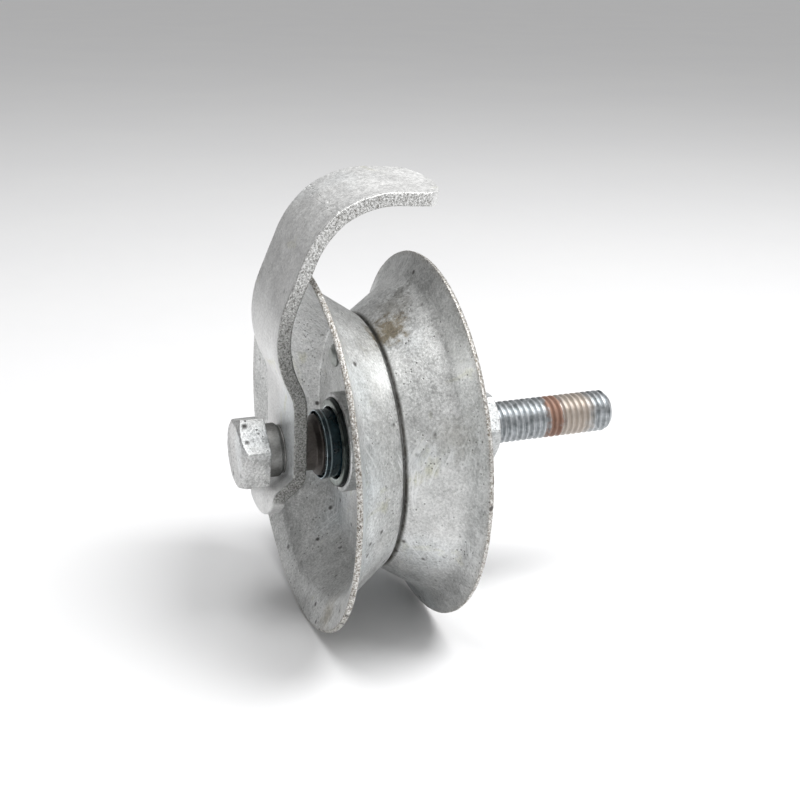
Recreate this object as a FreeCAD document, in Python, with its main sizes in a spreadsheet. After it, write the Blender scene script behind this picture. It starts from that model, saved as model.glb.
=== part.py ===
import FreeCAD, Part

import math
import os
import Sketcher

# A pressed-steel gate track wheel with its ball-bearing hub, axle bolt and hooked guard.
# Millimetres. The wheel turns about Y, the threaded end of the axle points to +Y and +Z is up.
# The origin is the wheel's centre, on the seam between its two pressed halves.

# name, size in mm (or a plain ratio), what it is
DIMENSIONS = [
    ("rim_rad", 66.0, "radius of the wheel at its rims"),
    ("rim_half", 21.6, "seam to the groove side of a rim"),
    ("sheet", 2.0, "thickness of the pressed sheet"),
    ("floor_rad", 45.1, "radius where the groove walls would meet"),
    ("knee_rad", 56.8, "radius where the groove wall turns steeper"),
    ("knee_half", 17.2, "seam to that turn"),
    ("floor_round", 3.4, "rounding of a half at the seam"),
    ("knee_round", 9.0, "rounding of the groove wall at its turn"),
    ("web_bore_rad", 15.95, "hole in each web for the hub"),
    ("collar_wall", 1.9, "wall of the collar drawn around that hole"),
    ("collar_high", 9.6, "seam to the end of that collar"),
    ("rivet_ring", 34.0, "radius of the ring of web rivets"),
    ("rivet_rad", 2.9, "radius of a rivet's shank"),
    ("rivet_hole_rad", 2.95, "radius of its hole"),
    ("rivet_head_rad", 4.4, "radius of a rivet's head"),
    ("rivet_head_high", 1.9, "height of a rivet's head"),
    ("hub_rad", 15.9, "outside radius of the hub sleeve"),
    ("hub_bore_rad", 14.4, "bore of the hub sleeve"),
    ("hub_lip_rad", 13.0, "hole in the lip rolled over each end of the sleeve"),
    ("hub_lip", 10.1, "seam to the inner side of that lip"),
    ("hub_half", 11.2, "half the length of the hub sleeve"),
    ("race_out_rad", 14.35, "outside radius of a bearing's outer race"),
    ("race_out_bore", 12.6, "shoulder radius inside the outer race"),
    ("race_in_rad", 10.9, "outside radius of a bearing's inner race"),
    ("axle_bore", 8.05, "radius of the bores that the bolt passes through"),
    ("ball_ring", 11.75, "radius of the ring of ball centres"),
    ("ball_rad", 1.7, "radius of a ball"),
    ("track_rad", 1.75, "radius of the ball track in a race"),
    ("ball_at", 4.6, "seam to the plane of the balls"),
    ("race_near", 1.5, "seam to the inner end of a bearing"),
    ("race_far", 7.9, "seam to the outer end of an outer race"),
    ("race_nose", 16.6, "seam to the end of an inner race"),
    ("cage_in_rad", 11.35, "inside radius of a ball cage"),
    ("cage_out_rad", 12.15, "outside radius of a ball cage"),
    ("cage_half", 2.4, "half the width of a ball cage"),
    ("cage_window", 1.78, "radius of a window in the cage"),
    ("shield_near", 8.0, "seam to the inner face of a dust shield"),
    ("shield_far", 8.6, "seam to the outer face of a dust shield"),
    ("shield_bore", 11.25, "radius of the hole in a dust shield"),
    ("cap_rad", 12.4, "outside radius of a dust ring"),
    ("cap_near", 9.2, "seam to the wheel side of a dust ring"),
    ("cap_far", 16.5, "seam to the outer side of a dust ring"),
    ("cap_lip", 11.5, "radius inside a dust ring's lip"),
    ("cap_floor", 13.4, "seam to the floor inside a dust ring's lip"),
    ("tube_rad", 10.4, "outside radius of the tube between the inner races"),
    ("sleeve_rad", 8.8, "outside radius of the guard spacer's tube"),
    ("step_near", 16.6, "seam to the wheel end of the guard spacer"),
    ("step_far", 17.5, "seam to the end of its full-width step"),
    ("step_taper", 18.8, "seam to the end of the taper"),
    ("guard_in", 25.1, "seam to the wheel side of the guard"),
    ("guard_out", 29.9, "seam to the head side of the guard"),
    ("guard_wide", 34.3, "width of the guard's bar"),
    ("guard_thick", 4.8, "thickness of the guard's bar"),
    ("guard_hole", 8.0, "radius of the guard's hole"),
    ("ring_rad", 9.45, "outside radius of the collar under the bolt head"),
    ("ring_chamfer", 1.35, "chamfer of that collar"),
    ("head_near", 36.2, "seam to the underside of the bolt head"),
    ("head_far", 46.1, "seam to the end of the bolt head"),
    ("hex_flat", 23.8, "width across flats of the head and the nut"),
    ("bolt_rad", 7.94, "radius of the bolt's plain shank"),
    ("thread_rad", 7.76, "radius of the crests of its thread"),
    ("root_rad", 6.75, "radius at the roots of the thread"),
    ("pitch", 2.309, "pitch of the thread"),
    ("bolt_end", 98.3, "seam to the end of the bolt"),
    ("end_chamfer", 1.5, "chamfer at the end of the bolt"),
    ("spacer_end", 33.4, "seam to the end of the inboard spacer"),
    ("washer_rad", 16.5, "outside radius of the washer"),
    ("nut_near", 35.9, "seam to the wheel side of the nut"),
    ("nut_far", 49.8, "seam to the outer face of the nut"),
    ("nut_bore", 7.36, "radius of the nut's bore, on the line where the threads bear"),
    ("nut_mouth", 0.95, "chamfer of that bore at both faces"),
    ("thread_mid_rad", 7.3, "radius of the bolt inside the nut, on that same line"),
    ("stud_start", 50.6, "seam to the first full turn of thread beyond the nut"),
    ("shank_end", 34.6, "seam to the end of the bolt's plain shank"),
]

RIVETS = 4
RIVET_ANGLE = 139.0
BALLS = 12
THREADS = 20
HEAD_TURN = 22.5
NUT_TURN = 11.0
TAIL_TURN = 20.0

# The middle line of the guard's bar, seen from the side: axial place, height, bend radius.
HOOK_LINE = [
    (-27.5, 4.0, 0.0),
    (-27.5, 25.46, 18.9),
    (-36.65, 44.7, 35.7),
    (-21.5, 82.1, 32.6),
    (-6.7, 93.25, 30.8),
    (26.0, 91.0, 0.0),
]
TAIL_LINE = [
    (-27.5, 24.0, 0.0),
    (-27.5, -10.0, 4.5),
    (-34.9, -15.6, 4.5),
    (-35.4, -34.0, 0.0),
]

# The round ends of the bar: centre across the bar, centre along the axle or downward, radius.
TIP_ROUND = (0.0, -12.6, 34.4)
TAIL_ROUND = (-5.5, -3.5, 27.9)

doc = FreeCAD.newDocument("gate_track_wheel")
dims = doc.addObject("Spreadsheet::Sheet", "dims")
made = []


class Size:
    """A size from the sheet, or a sum or product of sizes, with the text that binds it."""

    def __init__(self, value, text):
        self.value = value
        self.text = text

    def __add__(self, other):
        other = size(other)
        return Size(self.value + other.value, f"({self.text} + {other.text})")

    def __sub__(self, other):
        other = size(other)
        return Size(self.value - other.value, f"({self.text} - {other.text})")

    def __mul__(self, other):
        other = size(other)
        return Size(self.value * other.value, f"({self.text} * {other.text})")

    def __neg__(self):
        return Size(-self.value, f"(0 - {self.text})")


def size(number):
    """A plain number as a Size."""
    if isinstance(number, Size):
        return number
    return Size(number, f"{number:.6f}")


def fill_sheet():
    """Writes each driving dimension to the sheet, and returns them by name."""
    table = {}
    for row, (name, value, meaning) in enumerate(DIMENSIONS, start=1):
        dims.set(f"A{row}", name)
        dims.set(f"B{row}", str(value))
        dims.set(f"C{row}", meaning)
        dims.setAlias(f"B{row}", name)
        table[name] = Size(value, f"dims.{name}")
    doc.recompute()
    return table


D = fill_sheet()


def new_body(label):
    """An empty body with the label of its node."""
    body = doc.addObject("PartDesign::Body", label)
    body.Label = label
    return body


def new_sketch(body, plane, name):
    """A sketch on one of the body's own origin planes."""
    sketch = body.newObject("Sketcher::SketchObject", f"{body.Name}_{name}")
    support = [f for f in body.Origin.OriginFeatures if f.Role == plane][0]
    sketch.AttachmentSupport = [(support, "")]
    sketch.MapMode = "FlatFace"
    return sketch


def lock(sketch, geometry, point, axis, place):
    """Holds one coordinate of a point at a size from the sheet."""
    place = size(place)
    if abs(place.value) < 1e-9:
        line = -2 if axis == "X" else -1
        sketch.addConstraint(Sketcher.Constraint("PointOnObject", geometry, point, line))
        return
    kind = "Distance" + axis
    if place.value > 0:
        rule = Sketcher.Constraint(kind, -1, 1, geometry, point, place.value)
        text = place.text
    else:
        rule = Sketcher.Constraint(kind, geometry, point, -1, 1, -place.value)
        text = f"0 - {place.text}"
    index = sketch.addConstraint(rule)
    sketch.setExpression(f"Constraints[{index}]", text)


def polygon(sketch, corners):
    """A closed outline with every corner held by the sheet."""
    count = len(corners)
    points = [FreeCAD.Vector(size(x).value, size(y).value, 0) for x, y in corners]
    for i in range(count):
        sketch.addGeometry(Part.LineSegment(points[i], points[(i + 1) % count]), False)
    for i in range(count):
        sketch.addConstraint(
            Sketcher.Constraint("Coincident", i, 2, (i + 1) % count, 1)
        )
    for i, (x, y) in enumerate(corners):
        lock(sketch, i, 1, "X", x)
        lock(sketch, i, 1, "Y", y)


def circle(sketch, x, y, radius):
    """A circle with its centre and radius held by the sheet."""
    x, y, radius = size(x), size(y), size(radius)
    centre = FreeCAD.Vector(x.value, y.value, 0)
    normal = FreeCAD.Vector(0, 0, 1)
    index = sketch.addGeometry(Part.Circle(centre, normal, radius.value), False)
    lock(sketch, index, 3, "X", x)
    lock(sketch, index, 3, "Y", y)
    rule = sketch.addConstraint(Sketcher.Constraint("Radius", index, radius.value))
    sketch.setExpression(f"Constraints[{rule}]", radius.text)


def revolve(body, sketch):
    """Turns a sketch on the XY plane about the axle."""
    turned = body.newObject("PartDesign::Revolution", f"{body.Name}_turned")
    turned.Profile = sketch
    turned.ReferenceAxis = (sketch, ["V_Axis"])
    turned.Angle = 360.0
    sketch.Visibility = False
    doc.recompute()
    return turned


def ring(label, outline):
    """A node turned from one closed outline of (radius, axial place) corners."""
    body = new_body(label)
    sketch = new_sketch(body, "XY_Plane", "outline")
    polygon(sketch, outline)
    revolve(body, sketch)
    made.append(body)
    return body


def circle_edges(shape, wanted):
    """Names of the round edges with a given radius at a given axial place."""
    names = []
    for number, edge in enumerate(shape.Edges, start=1):
        curve = edge.Curve
        if not isinstance(curve, Part.Circle):
            continue
        for radius, place in wanted:
            near = abs(curve.Radius - radius) < 0.02
            if near and abs(curve.Center.y - place) < 0.02:
                names.append(f"Edge{number}")
    return names


def fillet(body, base, names, radius, tag):
    """Rounds named edges of the body's newest feature."""
    if not names:
        raise RuntimeError(f"{body.Label}: no edge found for {tag}")
    radius = size(radius)
    feature = body.newObject("PartDesign::Fillet", f"{body.Name}_{tag}")
    feature.Base = (base, names)
    feature.Radius = radius.value
    feature.setExpression("Radius", radius.text)
    doc.recompute()
    return feature


def chamfer(body, base, names, width, tag):
    """Bevels named edges of the body's newest feature."""
    if not names:
        raise RuntimeError(f"{body.Label}: no edge found for {tag}")
    width = size(width)
    feature = body.newObject("PartDesign::Chamfer", f"{body.Name}_{tag}")
    feature.Base = (base, names)
    feature.Size = width.value
    feature.setExpression("Size", width.text)
    doc.recompute()
    return feature


def through_pocket(body, sketch, name):
    """Cuts a sketch right through the body, both ways."""
    before = body.Shape.Volume
    pocket = body.newObject("PartDesign::Pocket", f"{body.Name}_{name}")
    pocket.Profile = sketch
    pocket.Type = 1
    pocket.Midplane = True
    sketch.Visibility = False
    doc.recompute()
    if not pocket.Shape.Volume < before - 1e-3:
        raise RuntimeError(f"{body.Label}: {name} cut nothing")
    return pocket


# ---------------------------------------------------------------- the wheel's halves


def parallel_corner(corner, before, after, gap):
    """The corner of an outline that runs a fixed gap to the left of a bent line."""
    a = (corner[0] - before[0], corner[1] - before[1])
    b = (after[0] - corner[0], after[1] - corner[1])
    la = math.hypot(*a)
    lb = math.hypot(*b)
    na = (-a[1] / la, a[0] / la)
    nb = (-b[1] / lb, b[0] / lb)
    share = gap / (1 + na[0] * nb[0] + na[1] * nb[1])
    return (corner[0] + (na[0] + nb[0]) * share, corner[1] + (na[1] + nb[1]) * share)


def half_sketch(body, side):
    """The section of one pressed half: web, groove wall, steep rim, collar round the hub."""
    sketch = new_sketch(body, "XY_Plane", "section")
    rim = (D["rim_rad"].value, side * D["rim_half"].value)
    knee = (D["knee_rad"].value, side * D["knee_half"].value)
    foot = (D["floor_rad"].value, 0.0)
    bore = (D["web_bore_rad"].value, 0.0)
    gap = side * D["sheet"].value
    along = math.hypot(rim[0] - knee[0], rim[1] - knee[1])
    lip = (
        rim[0] - gap * (rim[1] - knee[1]) / along,
        rim[1] + gap * (rim[0] - knee[0]) / along,
    )
    knee_in = parallel_corner(knee, foot, rim, gap)
    foot_in = parallel_corner(foot, bore, knee, gap)
    collar = D["web_bore_rad"].value + D["collar_wall"].value
    high = side * D["collar_high"].value
    points = [
        bore,
        foot,
        knee,
        rim,
        lip,
        knee_in,
        foot_in,
        (collar, gap),
        (collar, high),
        (bore[0], high),
    ]
    count = len(points)
    vectors = [FreeCAD.Vector(x, y, 0) for x, y in points]
    for i in range(count):
        sketch.addGeometry(Part.LineSegment(vectors[i], vectors[(i + 1) % count]), False)
    for i in range(count):
        sketch.addConstraint(
            Sketcher.Constraint("Coincident", i, 2, (i + 1) % count, 1)
        )
    way = Size(side, f"({side})")
    lock(sketch, 0, 1, "X", D["web_bore_rad"])
    lock(sketch, 0, 1, "Y", 0)
    lock(sketch, 1, 1, "X", D["floor_rad"])
    lock(sketch, 1, 1, "Y", 0)
    lock(sketch, 2, 1, "X", D["knee_rad"])
    lock(sketch, 2, 1, "Y", way * D["knee_half"])
    lock(sketch, 3, 1, "X", D["rim_rad"])
    lock(sketch, 3, 1, "Y", way * D["rim_half"])
    sketch.addConstraint(Sketcher.Constraint("Perpendicular", 2, 3))
    for inner, outer in ((4, 2), (5, 1), (6, 0)):
        sketch.addConstraint(Sketcher.Constraint("Parallel", inner, outer))
        rule = Sketcher.Constraint("Distance", inner, 1, outer, D["sheet"].value)
        index = sketch.addConstraint(rule)
        sketch.setExpression(f"Constraints[{index}]", "dims.sheet")
    lock(sketch, 7, 1, "X", D["web_bore_rad"] + D["collar_wall"])
    lock(sketch, 8, 1, "X", D["web_bore_rad"] + D["collar_wall"])
    lock(sketch, 8, 1, "Y", way * D["collar_high"])
    lock(sketch, 9, 1, "X", D["web_bore_rad"])
    lock(sketch, 9, 1, "Y", way * D["collar_high"])
    return sketch, points


def wheel_half(label, side):
    """One pressed half of the wheel; side is -1 for the head side, +1 for the stud side."""
    body = new_body(label)
    sketch, points = half_sketch(body, side)
    base = revolve(body, sketch)
    foot, knee, rim, lip, knee_in, foot_in = points[1:7]
    collar_foot, collar_top, collar_mouth = points[7:10]
    sheet = D["sheet"]
    steps = [
        ("floor", [foot], D["floor_round"]),
        ("floor_inside", [foot_in], D["floor_round"] - sheet),
        ("knee", [knee], D["knee_round"]),
        ("knee_inside", [knee_in], D["knee_round"] + sheet),
        ("rim", [rim, lip], 0.5),
        ("collar_foot", [collar_foot], 1.6),
        ("collar_top", [collar_top], 0.7),
    ]
    for tag, corners, radius in steps:
        base = fillet(body, base, circle_edges(base.Shape, corners), radius, tag)
    holes = new_sketch(body, "XZ_Plane", "rivet_holes")
    for x, z in rivet_places():
        circle(holes, x, z, D["rivet_hole_rad"])
    through_pocket(body, holes, "holes")
    made.append(body)


def rivet_places():
    """Centres of the web rivets, as sizes."""
    places = []
    for number in range(RIVETS):
        angle = math.radians(RIVET_ANGLE + number * 360.0 / RIVETS)
        places.append((D["rivet_ring"] * math.cos(angle), D["rivet_ring"] * math.sin(angle)))
    return places


def rivets(label):
    """The web rivets: a shank with a low domed head on each side of the two webs."""
    parts = []
    for number, (x, z) in enumerate(rivet_places(), start=1):
        body = new_body(f"web_rivet_{number}")
        sketch = new_sketch(body, "XY_Plane", "outline")
        reach = D["sheet"] + 0.02
        top = reach + D["rivet_head_high"]
        polygon(
            sketch,
            [
                (0, -top),
                (D["rivet_head_rad"] - 1.7, -top),
                (D["rivet_head_rad"], -reach - 0.4),
                (D["rivet_head_rad"], -reach),
                (D["rivet_rad"], -reach),
                (D["rivet_rad"], reach),
                (D["rivet_head_rad"], reach),
                (D["rivet_head_rad"], reach + 0.4),
                (D["rivet_head_rad"] - 1.7, top),
                (0, top),
            ],
        )
        base = revolve(body, sketch)
        rim = D["rivet_head_rad"].value - 1.7
        edges = circle_edges(base.Shape, [(rim, top.value), (rim, -top.value)])
        fillet(body, base, edges, 1.2, "dome")
        body.Placement = FreeCAD.Placement(
            FreeCAD.Vector(x.value, 0, z.value), FreeCAD.Rotation()
        )
        body.setExpression("Placement.Base.x", x.text)
        body.setExpression("Placement.Base.z", z.text)
        parts.append(body)
    group(label, parts)


def group(label, parts):
    """Several separate solids of one kind, as one node."""
    compound = doc.addObject("Part::Compound", label)
    compound.Label = label
    compound.Links = parts
    made.append(compound)
    doc.recompute()


# ---------------------------------------------------------------- the hub and its bearings


def track_cut(body, side):
    """The round ball track, cut into a race."""
    sketch = new_sketch(body, "XY_Plane", "track")
    circle(sketch, D["ball_ring"], Size(side, f"({side})") * D["ball_at"], D["track_rad"])
    before = body.Shape.Volume
    groove = body.newObject("PartDesign::Groove", f"{body.Name}_groove")
    groove.Profile = sketch
    groove.ReferenceAxis = (sketch, ["V_Axis"])
    groove.Angle = 360.0
    sketch.Visibility = False
    doc.recompute()
    if not groove.Shape.Volume < before - 1e-3:
        raise RuntimeError(f"{body.Label}: the track cut nothing")


def bearing(prefix, side):
    """One ball bearing: races, balls, cage and dust shield, mirrored by side."""
    way = Size(side, f"({side})")
    near = way * D["race_near"]
    outer = ring(
        f"{prefix}_outer_race",
        [
            (D["race_out_bore"], near),
            (D["race_out_rad"], near),
            (D["race_out_rad"], way * D["race_far"]),
            (D["race_out_bore"], way * D["race_far"]),
        ],
    )
    track_cut(outer, side)
    nose = way * D["race_nose"]
    inner = ring(
        f"{prefix}_inner_race",
        [
            (D["axle_bore"], near),
            (D["race_in_rad"], near),
            (D["race_in_rad"], nose),
            (D["axle_bore"], nose),
        ],
    )
    track_cut(inner, side)
    ring(
        f"{prefix}_dust_shield",
        [
            (D["shield_bore"], way * D["shield_near"]),
            (D["race_out_rad"], way * D["shield_near"]),
            (D["race_out_rad"], way * D["shield_far"]),
            (D["shield_bore"], way * D["shield_far"]),
        ],
    )
    cap = way * D["cap_far"]
    floor = way * D["cap_floor"]
    ring(
        f"{prefix}_dust_ring",
        [
            (D["race_in_rad"] + 0.02, way * D["cap_near"]),
            (D["cap_rad"], way * D["cap_near"]),
            (D["cap_rad"], cap),
            (D["cap_rad"] - 0.5, cap),
            (D["cap_lip"], floor),
            (D["race_in_rad"] + 0.02, floor),
        ],
    )
    cage(f"{prefix}_ball_cage", way)
    balls(f"{prefix}_bearing_balls", way)


def cage(label, way):
    """A thin ring with a window for each ball."""
    middle = way * D["ball_at"]
    body = new_body(label)
    sketch = new_sketch(body, "XY_Plane", "outline")
    polygon(
        sketch,
        [
            (D["cage_in_rad"], middle - D["cage_half"]),
            (D["cage_out_rad"], middle - D["cage_half"]),
            (D["cage_out_rad"], middle + D["cage_half"]),
            (D["cage_in_rad"], middle + D["cage_half"]),
        ],
    )
    base = revolve(body, sketch)
    window = new_sketch(body, "YZ_Plane", "window")
    circle(window, middle, 0, D["cage_window"])
    pocket = body.newObject("PartDesign::Pocket", f"{label}_window")
    pocket.Profile = window
    pocket.Type = 1
    pocket.Reversed = True
    window.Visibility = False
    doc.recompute()
    if not pocket.Shape.Volume < base.Shape.Volume - 1e-3:
        raise RuntimeError(f"{label}: the window cut nothing")
    pattern = body.newObject("PartDesign::PolarPattern", f"{label}_windows")
    pattern.Originals = [pocket]
    axis = [f for f in body.Origin.OriginFeatures if f.Role == "Y_Axis"][0]
    pattern.Axis = (axis, [""])
    pattern.Angle = 360.0
    pattern.Occurrences = BALLS
    body.Tip = pattern
    doc.recompute()
    made.append(body)


def balls(label, way):
    """The ring of balls."""
    parts = []
    middle = way * D["ball_at"]
    for number in range(BALLS):
        angle = math.radians(number * 360.0 / BALLS)
        ball = doc.addObject("Part::Sphere", f"{label}_{number + 1}")
        ball.setExpression("Radius", "dims.ball_rad")
        x = D["ball_ring"] * math.cos(angle)
        z = D["ball_ring"] * math.sin(angle)
        ball.Placement = FreeCAD.Placement(
            FreeCAD.Vector(x.value, middle.value, z.value), FreeCAD.Rotation()
        )
        ball.setExpression("Placement.Base.x", x.text)
        ball.setExpression("Placement.Base.y", middle.text)
        ball.setExpression("Placement.Base.z", z.text)
        parts.append(ball)
    doc.recompute()
    group(label, parts)


def hub():
    """The sleeve that joins the webs, and the tube that keeps the inner races apart."""
    body = ring(
        "hub_sleeve",
        [
            (D["hub_lip_rad"], -D["hub_half"]),
            (D["hub_rad"], -D["hub_half"]),
            (D["hub_rad"], D["hub_half"]),
            (D["hub_lip_rad"], D["hub_half"]),
            (D["hub_lip_rad"], D["hub_lip"]),
            (D["hub_bore_rad"], D["hub_lip"]),
            (D["hub_bore_rad"], -D["hub_lip"]),
            (D["hub_lip_rad"], -D["hub_lip"]),
        ],
    )
    ends = []
    for radius in (D["hub_lip_rad"].value, D["hub_rad"].value):
        ends += [(radius, -D["hub_half"].value), (radius, D["hub_half"].value)]
    base = body.Tip
    fillet(body, base, circle_edges(base.Shape, ends), 0.5, "ends")
    near = D["race_near"] - 0.05
    ring(
        "inner_race_spacer",
        [
            (D["axle_bore"], -near),
            (D["tube_rad"], -near),
            (D["tube_rad"], near),
            (D["axle_bore"], near),
        ],
    )


def spacers():
    """The turned and tubular pieces threaded on the bolt on each side of the hub."""
    ring(
        "guard_spacer",
        [
            (D["axle_bore"], -D["step_near"]),
            (D["race_in_rad"], -D["step_near"]),
            (D["race_in_rad"], -D["step_far"]),
            (D["sleeve_rad"], -D["step_taper"]),
            (D["sleeve_rad"], -D["guard_in"]),
            (D["axle_bore"], -D["guard_in"]),
        ],
    )
    collar = ring(
        "head_collar",
        [
            (D["axle_bore"], -D["guard_out"]),
            (D["ring_rad"], -D["guard_out"]),
            (D["ring_rad"], -D["head_near"]),
            (D["axle_bore"], -D["head_near"]),
        ],
    )
    base = collar.Tip
    edge = circle_edges(base.Shape, [(D["ring_rad"].value, -D["guard_out"].value)])
    chamfer(collar, base, edge, D["ring_chamfer"], "bevel")
    ring(
        "inboard_spacer",
        [
            (D["axle_bore"], D["race_nose"]),
            (D["race_in_rad"], D["race_nose"]),
            (D["race_in_rad"], D["spacer_end"]),
            (D["axle_bore"], D["spacer_end"]),
        ],
    )
    washer = ring(
        "nut_washer",
        [
            (D["axle_bore"], D["spacer_end"]),
            (D["washer_rad"], D["spacer_end"]),
            (D["washer_rad"], D["nut_near"]),
            (D["axle_bore"], D["nut_near"]),
        ],
    )
    base = washer.Tip
    edge = circle_edges(base.Shape, [(D["washer_rad"].value, D["nut_near"].value)])
    fillet(washer, base, edge, 0.5, "edge")


# ---------------------------------------------------------------- the bolt and the nut


def hexagon(sketch, turn, flat):
    """A hexagon with one corner turned from the X axis, its sides held by the sheet."""
    corner = flat * (0.5 / math.cos(math.radians(30)))
    corners = []
    for number in range(6):
        angle = math.radians(turn + 60 * number)
        corners.append((corner * math.cos(angle), corner * math.sin(angle)))
    polygon(sketch, corners)


def hex_prism(label, turn, near, far, round_ends):
    """A hexagonal body between two axial places, its corners turned down at the ends."""
    body = new_body(label)
    sketch = new_sketch(body, "XZ_Plane", "hexagon")
    hexagon(sketch, turn, D["hex_flat"])
    sketch.AttachmentOffset = FreeCAD.Placement(
        FreeCAD.Vector(0, 0, -near.value), FreeCAD.Rotation()
    )
    sketch.setExpression("AttachmentOffset.Base.z", (-near).text)
    pad = body.newObject("PartDesign::Pad", f"{label}_hex")
    pad.Profile = sketch
    length = far - near
    if length.value > 0:
        pad.Reversed = True
    else:
        length = -length
    pad.Length = length.value
    pad.setExpression("Length", length.text)
    sketch.Visibility = False
    doc.recompute()
    turned_down(body, near, far, round_ends)
    return body


def turned_down(body, near, far, ends):
    """Takes the hexagon's corners off with a 30 degree cone at the ends asked for."""
    reach = D["hex_flat"] * 0.70
    for place in ends:
        inward = 1.0 if (place is near) == (near.value < far.value) else -1.0
        sketch = new_sketch(body, "XY_Plane", f"cone_{'near' if place is near else 'far'}")
        start = D["hex_flat"] * 0.485
        depth = (reach - start) * math.tan(math.radians(30)) * inward
        polygon(sketch, [(start, place), (reach, place + depth), (reach, place)])
        before = body.Shape.Volume
        cut = body.newObject("PartDesign::Groove", f"{sketch.Name}_cut")
        cut.Profile = sketch
        cut.ReferenceAxis = (sketch, ["V_Axis"])
        cut.Angle = 360.0
        sketch.Visibility = False
        doc.recompute()
        if not cut.Shape.Volume < before - 1e-3:
            raise RuntimeError(f"{body.Label}: the corner cone cut nothing")


def bolt():
    """The axle bolt: hexagon head, plain shank and threaded end."""
    body = hex_prism("axle_bolt", HEAD_TURN, -D["head_near"], -D["head_far"], [])
    far = -D["head_far"]
    cone = new_sketch(body, "XY_Plane", "head_cone")
    reach = D["hex_flat"] * 0.70
    start = D["hex_flat"] * 0.46
    depth = (reach - start) * math.tan(math.radians(32))
    polygon(cone, [(start, far), (reach, far + depth), (reach, far)])
    groove = body.newObject("PartDesign::Groove", "axle_bolt_head_cut")
    groove.Profile = cone
    groove.ReferenceAxis = (cone, ["V_Axis"])
    groove.Angle = 360.0
    cone.Visibility = False
    doc.recompute()
    shank = new_sketch(body, "XY_Plane", "shank")
    polygon(shank, shank_outline())
    turned = body.newObject("PartDesign::Revolution", "axle_bolt_shank")
    turned.Profile = shank
    turned.ReferenceAxis = (shank, ["V_Axis"])
    turned.Angle = 360.0
    shank.Visibility = False
    doc.recompute()
    made.append(body)


def shank_outline():
    """The bolt's half section, with each turn of the thread as one ridge."""
    end = D["bolt_end"]
    corners = [(0, -D["head_near"] - 1.0), (D["bolt_rad"], -D["head_near"] - 1.0)]
    first = D["stud_start"]
    corners.append((D["bolt_rad"], D["shank_end"]))
    corners.append((D["thread_mid_rad"], D["shank_end"]))
    corners.append((D["thread_mid_rad"], first))
    for number in range(THREADS):
        here = first + D["pitch"] * number
        corners.append((D["thread_rad"], here))
        corners.append((D["root_rad"], here + D["pitch"] * 0.42))
        corners.append((D["root_rad"], here + D["pitch"] * 0.52))
        corners.append((D["thread_rad"], here + D["pitch"] * 0.94))
    corners.append((D["thread_rad"], end - D["end_chamfer"]))
    corners.append((D["thread_rad"] - D["end_chamfer"], end))
    corners.append((0, end))
    return corners


def nut():
    """The hexagon nut, with a bore that opens at both faces."""
    near, far = D["nut_near"], D["nut_far"]
    body = hex_prism("axle_nut", NUT_TURN, near, far, [near, far])
    sketch = new_sketch(body, "XZ_Plane", "bore")
    circle(sketch, 0, 0, D["nut_bore"])
    through_pocket(body, sketch, "bored")
    base = body.Tip
    ends = [(D["nut_bore"].value, near.value), (D["nut_bore"].value, far.value)]
    chamfer(body, base, circle_edges(base.Shape, ends), D["nut_mouth"], "mouths")
    made.append(body)


# ---------------------------------------------------------------- the guard


def bar_outline(line, thick):
    """Both sides of a bent bar's middle line, as (corner, bend radius on that side)."""
    half = thick / 2.0
    left, right = [], []
    last = len(line) - 1
    for i, (y, z, bend) in enumerate(line):
        before = line[max(i - 1, 0)]
        after = line[min(i + 1, last)]
        for sign, side in ((1, left), (-1, right)):
            if 0 < i < last:
                corner = parallel_corner((y, z), before[:2], after[:2], sign * half)
            else:
                dy, dz = after[0] - before[0], after[1] - before[1]
                run = math.hypot(dy, dz)
                corner = (y - sign * half * dz / run, z + sign * half * dy / run)
            side.append(corner)
    return left, right


def bend_radii(line, thick):
    """For each bend, the radius on the left and on the right of the middle line."""
    radii = []
    for i in range(1, len(line) - 1):
        a = (line[i][0] - line[i - 1][0], line[i][1] - line[i - 1][1])
        b = (line[i + 1][0] - line[i][0], line[i + 1][1] - line[i][1])
        turn = a[0] * b[1] - a[1] * b[0]
        change = -thick / 2.0 if turn > 0 else thick / 2.0
        radii.append((line[i][2] + change, line[i][2] - change))
    return radii


def bar_pad(body, tag, line, wide):
    """A length of the bent bar, padded across its width, each bend rounded on both sides."""
    thick = D["guard_thick"].value
    left, right = bar_outline(line, thick)
    sketch = new_sketch(body, "YZ_Plane", tag)
    polygon(sketch, left + right[::-1])
    pad = body.newObject("PartDesign::Pad", f"{body.Name}_{tag}_pad")
    pad.Profile = sketch
    pad.Length = wide.value
    pad.setExpression("Length", wide.text)
    pad.Midplane = True
    sketch.Visibility = False
    doc.recompute()
    base = pad
    for number, (on_left, on_right) in enumerate(bend_radii(line, thick), start=1):
        sides = [(on_left, left[number], "l"), (on_right, right[number], "r")]
        for radius, corner, side in sorted(sides):
            names = bend_edges(base.Shape, corner)
            base = fillet(body, base, names, radius, f"bend_{number}{side}")
    return base


def bend_edges(shape, corner):
    """The straight edges whose middle lies at a bend corner."""
    names = []
    for number, edge in enumerate(shape.Edges, start=1):
        if not isinstance(edge.Curve, Part.Line):
            continue
        middle = edge.BoundBox.Center
        near = abs(middle.y - corner[0]) < 0.05 and abs(middle.z - corner[1]) < 0.05
        if near and abs(middle.x) < 0.05 and edge.BoundBox.XLength > 20:
            names.append(f"Edge{number}")
    return names


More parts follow.
